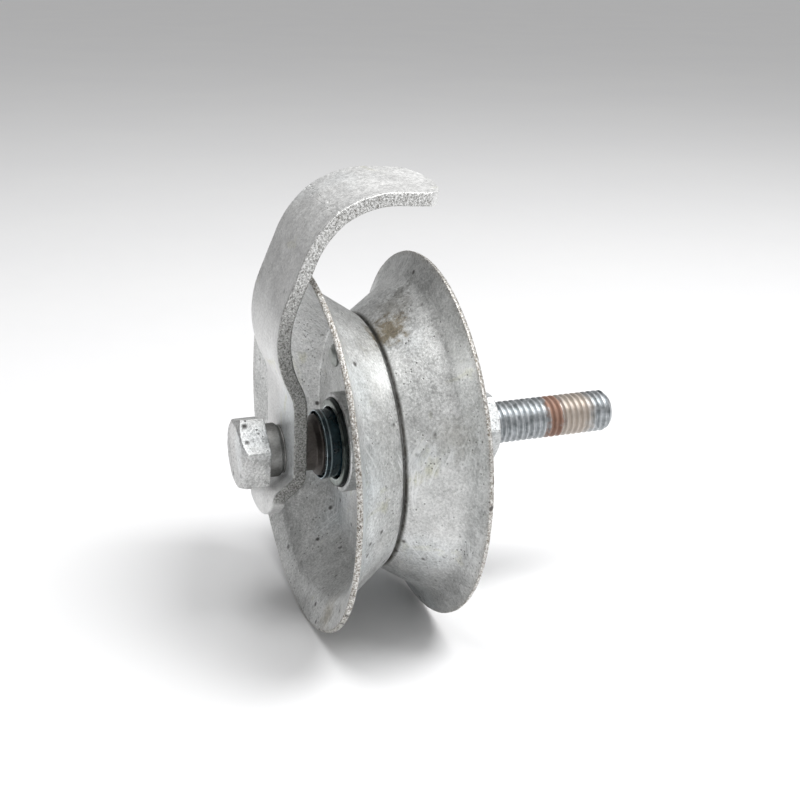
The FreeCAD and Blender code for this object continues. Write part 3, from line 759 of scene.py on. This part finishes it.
def drill(obj):
    """Cuts the bolt's hole through the guard."""
    outline = [(0.0, HOLE_FAR), (HOLE_RAD, HOLE_FAR), (HOLE_RAD, HOLE_NEAR), (0.0, HOLE_NEAR)]
    tool = spin("guard_drill", outline, 96, closed=False)
    cut = obj.modifiers.new("bolt_hole", "BOOLEAN")
    cut.operation = "DIFFERENCE"
    cut.solver = "EXACT"
    cut.object = tool
    bpy.context.view_layer.objects.active = obj
    bpy.context.view_layer.update()
    depsgraph = bpy.context.evaluated_depsgraph_get()
    result = bpy.data.meshes.new_from_object(obj.evaluated_get(depsgraph))
    obj.modifiers.clear()
    obj.data = result
    bpy.data.objects.remove(tool)


def shear_marks(obj):
    """Makes the bar's sheared sides uneven, and marks them for the material."""
    mark_cut(obj, lambda place: ramp(abs(place.x), BAR_WIDE / 2 - 0.5, BAR_WIDE / 2 - 0.15))
    for vertex in obj.data.vertices:
        x, y, z = vertex.co / MM
        side = abs(x) - (BAR_WIDE / 2 - SHEAR_DEEP)
        if side <= 0:
            continue
        share = min(1.0, side / SHEAR_DEEP)
        fine = noise.noise(Vector((x * 0.2, y * 1.1, z * 1.1)) + SEED_SHIFT)
        broad = noise.noise(Vector((x * 0.2, y * 0.35, z * 0.35)) - SEED_SHIFT)
        push = (0.16 * fine + 0.16 * broad - 0.12) * share
        vertex.co.x += math.copysign(push * MM, x)
    obj.data.update()


# ---------------------------------------------------------------- materials


class Graph:
    """A material's node graph, built from short calls."""

    def __init__(self, name):
        """Starts a material, with places taken from the object's own coordinates."""
        self.material = bpy.data.materials.new(name)
        self.material.use_nodes = True
        self.tree = self.material.node_tree
        self.shader = self.tree.nodes["Principled BSDF"]
        self.place = self.tree.nodes.new("ShaderNodeTexCoord").outputs["Object"]

    def node(self, kind, **settings):
        """Adds a node and sets its plain settings."""
        made = self.tree.nodes.new(kind)
        for key, value in settings.items():
            setattr(made, key, value)
        return made

    def link(self, source, target):
        """Joins an output to an input."""
        self.tree.links.new(source, target)

    def stretched(self, scale, turn=(0.0, 0.0, 0.0)):
        """Object coordinates, turned and scaled differently each way."""
        made = self.node("ShaderNodeMapping")
        made.inputs["Scale"].default_value = scale
        made.inputs["Rotation"].default_value = [math.radians(a) for a in turn]
        self.link(self.place, made.inputs["Vector"])
        return made.outputs["Vector"]

    def noise(self, scale, detail=3.0, rough=0.55, warp=0.0, at=None):
        """A cloudy pattern, scale in features for each metre."""
        made = self.node("ShaderNodeTexNoise")
        made.inputs["Scale"].default_value = scale
        made.inputs["Detail"].default_value = detail
        made.inputs["Roughness"].default_value = rough
        made.inputs["Distortion"].default_value = warp
        self.link(at or self.place, made.inputs["Vector"])
        return made.outputs["Fac"]

    def cells(self, scale):
        """Distance from scattered points."""
        made = self.node("ShaderNodeTexVoronoi")
        made.inputs["Scale"].default_value = scale
        made.inputs["Randomness"].default_value = 1.0
        self.link(self.place, made.inputs["Vector"])
        return made.outputs["Distance"]

    def band(self, value, low, high, start=0.0, end=1.0):
        """Maps low..high to start..end and clamps it."""
        made = self.node("ShaderNodeMapRange", clamp=True)
        made.inputs["From Min"].default_value = low
        made.inputs["From Max"].default_value = high
        made.inputs["To Min"].default_value = start
        made.inputs["To Max"].default_value = end
        self.link(value, made.inputs["Value"])
        return made.outputs["Result"]

    def math(self, operation, a, b):
        """One sum on two values; either can be a plain number."""
        made = self.node("ShaderNodeMath", operation=operation)
        for slot, value in zip(made.inputs, (a, b)):
            if isinstance(value, (int, float)):
                slot.default_value = value
            else:
                self.link(value, slot)
        return made.outputs["Value"]

    def times(self, a, b):
        """The product of two values."""
        return self.math("MULTIPLY", a, b)

    def plus(self, a, b):
        """The sum of two values."""
        return self.math("ADD", a, b)

    def mix(self, share, a, b, blend="MIX"):
        """Mixes two colours; either can be a plain colour."""
        made = self.node("ShaderNodeMix", data_type="RGBA", blend_type=blend)
        self.link(share, made.inputs["Factor"])
        for slot, value in ((made.inputs[6], a), (made.inputs[7], b)):
            if isinstance(value, tuple):
                slot.default_value = (*value, 1.0)
            else:
                self.link(value, slot)
        return made.outputs[2]

    def axis(self, name):
        """One object coordinate, in metres."""
        made = self.node("ShaderNodeSeparateXYZ")
        self.link(self.place, made.inputs["Vector"])
        return made.outputs[name]

    def radius(self):
        """Distance from the axle's line, in metres."""
        x, z = self.axis("X"), self.axis("Z")
        return self.math("SQRT", self.plus(self.times(x, x), self.times(z, z)), 0.0)

    def attribute(self, name):
        """A value stored on the mesh."""
        return self.node("ShaderNodeAttribute", attribute_name=name).outputs["Fac"]

    def bump(self, height, depth_mm):
        """Raises the surface by a height pattern."""
        made = self.node("ShaderNodeBump")
        made.inputs["Distance"].default_value = depth_mm * MM
        made.inputs["Strength"].default_value = 1.0
        self.link(height, made.inputs["Height"])
        self.link(made.outputs["Normal"], self.shader.inputs["Normal"])

    def set(self, name, value):
        """Sets or links an input of the shader."""
        slot = self.shader.inputs[name]
        if isinstance(value, (int, float)):
            slot.default_value = value
        else:
            self.link(value, slot)


def scratches(graph, scale, turn, low, high):
    """Thin straight marks along one direction, broken up so that few remain."""
    marks = graph.noise(1.0, 2.0, 0.5, 0.0, graph.stretched(scale, turn))
    patches = graph.band(graph.noise(38.0, 2.0), 0.5, 0.62)
    return graph.times(graph.band(marks, low, high), patches)


def zinc(name, dark, light, rough, pits, depth, brushed, smears=0.5, edges=None, marks_at=()):
    """Dull hot-dip zinc: cloudy, grainy, pitted, stained and scratched.

    edges is the dark and light colour of a sheared edge, and the heights in metres between which it
    darkens downward, if it does: partly the edge's own greyer tone low down, partly painted shade.
    marks_at lists stains and one painted dark reflection, and brings the painted shade in the seam with it.
    """
    g = Graph(name)
    cloud = g.noise(42.0, 4.0, 0.6, 0.6)
    mottle = g.noise(260.0, 6.0, 0.75, 0.5)
    grain = g.noise(1100.0, 4.0, 0.75)
    blend = g.plus(g.times(cloud, 0.30), g.plus(g.times(mottle, 0.22), g.times(grain, 0.48)))
    tone = g.mix(g.band(blend, 0.40, 0.60), dark, light)
    blue = g.band(g.noise(21.0, 2.0), 0.52, 0.72, 0.0, 0.5)
    tint = g.mix(blue, tone, (0.86, 0.94, 1.0), "MULTIPLY")
    stain = g.band(g.noise(48.0, 4.0, 0.6, 0.8), 0.60, 0.74, 0.0, 0.75)
    tint = g.mix(stain, tint, (0.84, 0.83, 0.64), "MULTIPLY")
    smear = g.noise(1.0, 5.0, 0.7, 0.3, g.stretched((260.0, 260.0, 75.0), (10.0, 20.0, 0.0)))
    tint = g.mix(g.band(smear, 0.56, 0.80, 0.0, smears), tint, (0.42, 0.41, 0.40), "MULTIPLY")
    spots = g.band(g.cells(170.0), 0.09, 0.20, 1.0, 0.0)
    spots = g.times(spots, g.band(g.noise(90.0, 2.0), 0.50, 0.58, 0.0, pits))
    specks = g.band(g.cells(620.0), 0.1, 0.24, 1.0, 0.0)
    specks = g.times(specks, g.band(g.noise(140.0, 2.0), 0.48, 0.58, 0.0, pits * 0.9))
    dirt = g.math("MAXIMUM", spots, specks)
    fine = scratches(g, (1300.0, 80.0, 80.0), (25.0, 40.0, 10.0), 0.56, 0.64)
    cross = scratches(g, (110.0, 1300.0, 110.0), (50.0, 10.0, 35.0), 0.60, 0.68)
    marks = g.math("MAXIMUM", fine, cross)
    tint = g.mix(g.times(marks, brushed), tint, (0.94, 0.95, 0.95))
    height = g.plus(g.times(mottle, 0.5), g.times(grain, 0.4))
    if edges:
        tint, height = torn_edges(g, tint, height, edges)
    # each patch is a stain, except one painted dark reflection on the pressing
    for stain_and_reflection_mark in marks_at:
        tint = stain_and_reflection_patch(g, tint, mottle, *stain_and_reflection_mark)
    seam_shade_share = 0.0
    if marks_at:
        seam_shade_share = painted_seam_shade(g, mottle)
        # painted shade: the seam's crevice multiplied down to near black
        tint = g.mix(g.times(seam_shade_share, 0.95), tint, (0.05, 0.042, 0.03), "MULTIPLY")
    tint = g.mix(dirt, tint, (0.035, 0.03, 0.026))
    g.set("Base Color", tint)
    g.set("Metallic", g.band(g.math("MAXIMUM", dirt, seam_shade_share), 0.0, 1.0, 0.80, 0.1))
    polish = g.plus(g.times(mottle, 0.6), g.times(grain, 0.4))
    g.set("Roughness", g.band(polish, 0.40, 0.60, rough[0], rough[1]))
    height = g.math("SUBTRACT", height, g.times(dirt, 0.5))
    height = g.math("SUBTRACT", height, g.times(marks, 0.06))
    g.bump(height, depth)
    return g.material


def stain_and_reflection_patch(g, tint, cloud, centre, near, far, colour, amount):
    """Darkens a patch around one place on the piece, with a ragged border."""
    away = g.node("ShaderNodeVectorMath", operation="DISTANCE")
    g.link(g.place, away.inputs[0])
    away.inputs[1].default_value = [value * MM for value in centre]
    ragged = g.plus(away.outputs["Value"], g.times(g.math("SUBTRACT", cloud, 0.5), 0.025))
    patch = g.band(ragged, near * MM, far * MM, amount, 0.0)
    return g.mix(patch, tint, colour, "MULTIPLY")


def painted_seam_shade(g, cloud):
    """Painted shade: the black line in the shadowed crevice where the two halves meet."""
    inner = g.band(g.axis("Y"), -0.0012, -0.0005)
    outer = g.band(g.axis("Y"), 0.0006, 0.0013, 1.0, 0.0)
    low = g.band(g.radius(), 0.0440, 0.0446)
    return g.times(g.times(inner, outer), g.times(low, g.band(cloud, 0.3, 0.55, 0.6, 1.0)))


def torn_edges(g, tint, height, edges):
    """The bright, torn look of a sheared edge, with brown and black specks in it."""
    cut = g.attribute("cut")
    crumbs = g.noise(1500.0, 3.0, 0.7, 0.3)
    torn = g.mix(g.band(crumbs, 0.38, 0.62), edges[0], edges[1])
    holes = g.band(g.noise(520.0, 4.0, 0.75), 0.56, 0.66, 0.0, 0.7)
    torn = g.mix(holes, torn, (0.09, 0.07, 0.05))
    if len(edges) > 2:
        # partly painted shade: the sheared edge darkens toward the bottom, partly its own greyer tone there
        low = g.band(g.axis("Z"), edges[2], edges[3], 0.85, 0.0)
        torn = g.mix(low, torn, (0.42, 0.42, 0.41), "MULTIPLY")
    rise = g.plus(height, g.times(cut, g.times(crumbs, 1.1)))
    return g.mix(cut, tint, torn), rise


def simple_metal(name, dark, light, rough, metallic=0.9, scale=160.0, depth=0.06):
    """Plain metal with cloudy colour, uneven polish and a fine grain."""
    g = Graph(name)
    cloud = g.noise(scale, 4.0, 0.6, 0.3)
    grain = g.noise(scale * 9.0, 3.0, 0.6)
    tone = g.plus(g.times(cloud, 0.7), g.times(grain, 0.3))
    g.set("Base Color", g.mix(g.band(tone, 0.35, 0.65), dark, light))
    g.set("Metallic", metallic)
    g.set("Roughness", g.band(cloud, 0.3, 0.7, rough[0], rough[1]))
    g.bump(tone, depth)
    return g.material


def hub_metal():
    """Oily greenish steel with a painted highlight at the lip's inner edge and a black outer rim."""
    g = Graph("hub_oily_steel")
    cloud = g.noise(260.0, 5.0, 0.7, 0.5)
    radius = g.radius()
    tone = g.mix(g.band(cloud, 0.38, 0.62), (0.07, 0.08, 0.072), (0.34, 0.38, 0.35))
    # painted highlight: a bright ring at the rolled lip's inner edge
    tone = g.mix(g.band(radius, 0.0132, 0.0137, 1.0, 0.0), tone, (0.66, 0.72, 0.70))
    tone = g.mix(g.band(radius, 0.0152, 0.0156), tone, (0.02, 0.025, 0.024))
    g.set("Base Color", tone)
    g.set("Metallic", 0.8)
    g.set("Roughness", g.band(cloud, 0.35, 0.65, 0.2, 0.45))
    g.bump(cloud, 0.15)
    return g.material


def seal_gloss():
    """Glossy dark blue with painted highlights: bright lines on its two raised edges."""
    g = Graph("seal_dark_blue")
    cloud = g.noise(300.0, 4.0, 0.65, 0.4)
    along = g.math("ABSOLUTE", g.axis("Y"), 0.0)
    # painted highlights: bright metal lines on the bead and at the far edge
    line = g.times(g.band(along, 0.01425, 0.01445), g.band(along, 0.0148, 0.0150, 1.0, 0.0))
    line = g.math("MAXIMUM", g.times(line, 0.7), g.band(along, 0.0161, 0.0164))
    line = g.times(line, g.band(cloud, 0.35, 0.55, 0.35, 1.0))
    tone = g.mix(g.band(cloud, 0.35, 0.65), (0.003, 0.010, 0.013), (0.014, 0.036, 0.046))
    g.set("Base Color", g.mix(line, tone, (0.50, 0.60, 0.64)))
    g.set("Metallic", g.band(line, 0.0, 1.0, 0.1, 0.8))
    g.set("Roughness", g.band(cloud, 0.3, 0.7, 0.12, 0.28))
    g.bump(cloud, 0.08)
    return g.material


def thread_zinc():
    """The bolt's zinc, with a rust band part way along its thread."""
    g = Graph("bolt_thread_zinc")
    along = g.axis("Y")
    uneven = g.times(g.band(g.noise(260.0, 4.0, 0.7), 0.3, 0.7, -1.0, 1.0), 0.0016)
    place = g.plus(along, uneven)
    cloud = g.noise(400.0, 4.0, 0.6)
    bright = g.mix(g.band(cloud, 0.35, 0.65), (0.28, 0.30, 0.31), (0.56, 0.58, 0.60))
    rust_in = g.band(place, 0.0705, 0.0725)
    rust_out = g.band(place, 0.0765, 0.0785, 1.0, 0.0)
    rust = g.times(rust_in, rust_out)
    tan_in = g.band(place, 0.0765, 0.079)
    tan_out = g.band(place, 0.0865, 0.0915, 1.0, 0.0)
    tan = g.times(tan_in, tan_out)
    colour = g.mix(g.times(tan, 0.75), bright, (0.50, 0.42, 0.35))
    colour = g.mix(g.times(rust, 0.85), colour, (0.27, 0.13, 0.075))
    g.set("Base Color", colour)
    g.set("Metallic", g.band(g.plus(rust, g.times(tan, 0.5)), 0.0, 1.0, 0.9, 0.3))
    g.set("Roughness", g.band(g.plus(cloud, g.times(rust, 0.3)), 0.3, 0.9, 0.3, 0.6))
    g.bump(g.noise(1800.0, 3.0), 0.05)
    return g.material


def paper_floor():
    """The pale matt floor."""
    g = Graph("floor_paper")
    g.set("Base Color", g.mix(g.noise(5.0, 3.0), (0.80, 0.80, 0.81), (0.84, 0.84, 0.84)))
    g.set("Roughness", g.band(g.noise(60.0, 2.0), 0.3, 0.7, 0.75, 0.9))
    g.bump(g.noise(900.0, 2.0), 0.02)
    return g.material


def wear(obj, material):
    """Gives an object one material."""
    obj.data.materials.clear()
    obj.data.materials.append(material)


# ---------------------------------------------------------------- the whole wheel


def show(obj, body, node, material):
    """Puts a piece on its body, in place of a CAD node, with its material."""
    wear(obj, material)
    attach(obj, body)
    if node:
        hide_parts(node)


def build_wheel(looks):
    """The two halves, the rivets and the hub."""
    for name, side in (("outboard", -1), ("inboard", 1)):
        half = wheel_half(f"{name}_half_skin", side)
        show(half, "wheel", f"{name}_wheel_half", looks["pressing"])
        disc = shield(f"{name}_shield_skin", side)
        show(disc, "wheel", f"{name}_dust_shield", looks["seal"])
        cup = dust_ring(f"{name}_dust_ring_skin", side)
        show(cup, "axle", f"{name}_dust_ring", looks["seal"])
    for number in range(RIVETS):
        angle = math.radians(RIVET_ANGLE + 360.0 / RIVETS * number)
        one = rivet(f"web_rivet_{number + 1}", angle)
        show(one, "wheel", "web_rivets" if number == 0 else None, looks["rivet"])
    show(hub_ring(), "wheel", "hub_sleeve", looks["hub"])


def build_axle(looks):
    """The bolt, the nut and what is threaded on it."""
    head = hex_solid("bolt_head", HEAD_TURN, head_column)
    roughen(head, 0.07, 3.0)
    show(head, "axle", "axle_bolt", looks["head"])
    show(bolt_shank(), "axle", None, looks["thread"])
    nut = hex_solid("nut_skin", NUT_TURN, nut_column)
    roughen(nut, 0.05, 3.0)
    show(nut, "axle", "axle_nut", looks["nut"])
    show(washer(), "axle", "nut_washer", looks["nut"])
    show(guard_spacer(), "axle", "guard_spacer", looks["spacer"])
    show(inboard_spacer(), "axle", "inboard_spacer", looks["spacer"])
    show(head_collar(), "axle", "head_collar", looks["collar"])


def build_guard(looks):
    """The hooked guard."""
    bar = guard_bar()
    drill(bar)
    shear_marks(bar)
    show(bar, "guard", "guard_strap", looks["bar"])


def dress_inside(nodes, looks):
    """Materials for the bearing pieces that keep their CAD shape."""
    for name, obj in nodes.items():
        if "race" in name or "balls" in name:
            wear(obj, looks["bearing"])
        if "cage" in name:
            wear(obj, looks["cage"])


def make_looks():
    """Every material by its use."""
    return {
        "pressing": zinc(
            "pressing_zinc", (0.40, 0.405, 0.40), (0.86, 0.865, 0.855),
            rough=(0.34, 0.52), pits=0.9, depth=0.32, brushed=0.6, smears=0.7,
            edges=((0.19, 0.165, 0.13), (0.84, 0.83, 0.81)),
            marks_at=(
                ((12.0, 4.0, 46.0), 3.0, 8.0, (0.50, 0.42, 0.30), 0.9),
                ((-3.0, 13.0, 56.0), 1.0, 5.0, (0.40, 0.39, 0.37), 0.8),
                ((3.0, 9.0, 50.0), 1.0, 8.0, (0.55, 0.52, 0.47), 0.6),
                # painted reflection: a dark patch where the inboard wall reflects the dark space toward the
                # camera; the other patches are stains
                ((50.0, 14.0, 22.0), 3.0, 9.0, (0.74, 0.73, 0.70), 0.7),
                ((2.0, -6.0, 36.0), 2.0, 12.0, (0.60, 0.58, 0.44), 0.8),
                ((30.0, -20.0, -52.0), 1.0, 9.0, (0.55, 0.48, 0.36), 0.6),
            ),
        ),
        "bar": zinc(
            "bar_zinc", (0.62, 0.62, 0.615), (0.93, 0.93, 0.92),
            rough=(0.40, 0.58), pits=0.3, depth=0.26, brushed=0.4, smears=0.1,
            # the last two heights set where the sheared edge darkens toward the bottom, partly painted shade
            edges=((0.30, 0.30, 0.29), (0.95, 0.95, 0.94), 0.040, 0.068),
        ),
        "rivet": simple_metal("rivet_zinc", (0.28, 0.30, 0.28), (0.55, 0.56, 0.54), (0.35, 0.55)),
        "hub": hub_metal(),
        "seal": seal_gloss(),
        "head": zinc(
            "head_zinc", (0.36, 0.36, 0.355), (0.94, 0.94, 0.93),
            rough=(0.32, 0.52), pits=0.9, depth=0.5, brushed=0.3,
        ),
        "nut": zinc(
            "nut_zinc", (0.30, 0.31, 0.31), (0.80, 0.81, 0.81),
            rough=(0.34, 0.54), pits=0.7, depth=0.4, brushed=0.3,
        ),
        "thread": thread_zinc(),
        "spacer": simple_metal("spacer_steel_dark", (0.06, 0.052, 0.048), (0.16, 0.145, 0.135), (0.35, 0.55)),
        "collar": simple_metal("collar_steel", (0.16, 0.155, 0.15), (0.4, 0.4, 0.39), (0.35, 0.6)),
        "bearing": simple_metal("bearing_steel", (0.45, 0.46, 0.46), (0.62, 0.63, 0.63), (0.15, 0.3)),
        "cage": simple_metal("cage_steel", (0.38, 0.37, 0.34), (0.5, 0.49, 0.46), (0.3, 0.45)),
    }


# ---------------------------------------------------------------- floor, light and camera


def build_floor():
    """A wide pale floor that both rims stand on."""
    normal = Vector((math.sin(FLOOR_LEAN), 0.0, math.cos(FLOOR_LEAN)))
    bpy.ops.mesh.primitive_plane_add(size=FLOOR_SIZE_M)
    floor = bpy.context.object
    floor.name = "floor"
    floor.rotation_euler = (0.0, FLOOR_LEAN, 0.0)
    floor.location = normal * (-(RIM_RAD + FLOOR_CLEAR) * MM)
    wear(floor, paper_floor())


def area_light(name, at, size, power):
    """A square soft light that points at the wheel's centre."""
    data = bpy.data.lights.new(name, "AREA")
    data.size = size
    data.energy = power
    lamp = bpy.data.objects.new(name, data)
    lamp.location = at
    lamp.rotation_euler = (-Vector(at)).to_track_quat("-Z", "Y").to_euler()
    bpy.context.scene.collection.objects.link(lamp)


def build_sky():
    """A soft sky, brightest above the far side and darker toward the near side's horizon."""
    world = bpy.data.worlds.new("studio")
    bpy.context.scene.world = world
    world.use_nodes = True
    nodes, links = world.node_tree.nodes, world.node_tree.links
    place = nodes.new("ShaderNodeTexCoord")
    facing = nodes.new("ShaderNodeVectorMath")
    facing.operation = "DOT_PRODUCT"
    facing.inputs[1].default_value = SKY_TOWARD
    links.new(place.outputs["Generated"], facing.inputs[0])
    rise = nodes.new("ShaderNodeMapRange")
    links.new(facing.outputs["Value"], rise.inputs["Value"])
    rise.inputs["From Min"].default_value = -0.3
    rise.inputs["From Max"].default_value = 0.8
    rise.inputs["To Min"].default_value = SKY_LOW
    rise.inputs["To Max"].default_value = SKY_HIGH
    links.new(rise.outputs["Result"], nodes["Background"].inputs["Strength"])
    nodes["Background"].inputs["Color"].default_value = (1.0, 1.0, 1.0, 1.0)


def build_light():
    """Two broad soft lights, high above the wheel."""
    area_light("top_light", (0.2, 0.45, 1.1), 0.6, 12.0)
    area_light("left_light", (0.1, -0.2, 1.25), 0.5, 6.0)


def build_camera():
    """The camera at the photograph's angle."""
    data = bpy.data.cameras.new("camera")
    data.lens = CAMERA_LENS
    data.sensor_width = CAMERA_SENSOR
    data.clip_start = CAMERA_CLIP_M
    camera = bpy.data.objects.new("camera", data)
    bpy.context.scene.collection.objects.link(camera)
    back = -CAMERA_AIM.normalized()
    right = CAMERA_UP.cross(back).normalized()
    up = back.cross(right)
    turn = Matrix((right, up, back)).transposed().to_4x4()
    camera.matrix_world = Matrix.Translation(CAMERA_AT * MM) @ turn
    bpy.context.scene.camera = camera


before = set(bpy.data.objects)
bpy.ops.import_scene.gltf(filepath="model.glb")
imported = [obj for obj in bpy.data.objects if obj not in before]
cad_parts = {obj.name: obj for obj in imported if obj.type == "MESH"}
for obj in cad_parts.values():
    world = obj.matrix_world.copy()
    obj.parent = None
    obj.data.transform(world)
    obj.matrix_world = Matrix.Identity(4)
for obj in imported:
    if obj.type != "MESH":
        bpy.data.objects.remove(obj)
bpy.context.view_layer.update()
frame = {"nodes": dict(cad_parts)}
looks = make_looks()
build_wheel(looks)
build_axle(looks)
build_guard(looks)
dress_inside(frame["nodes"], looks)
build_floor()
build_sky()
build_light()
build_camera()
bpy.context.scene.view_settings.view_transform = "Standard"
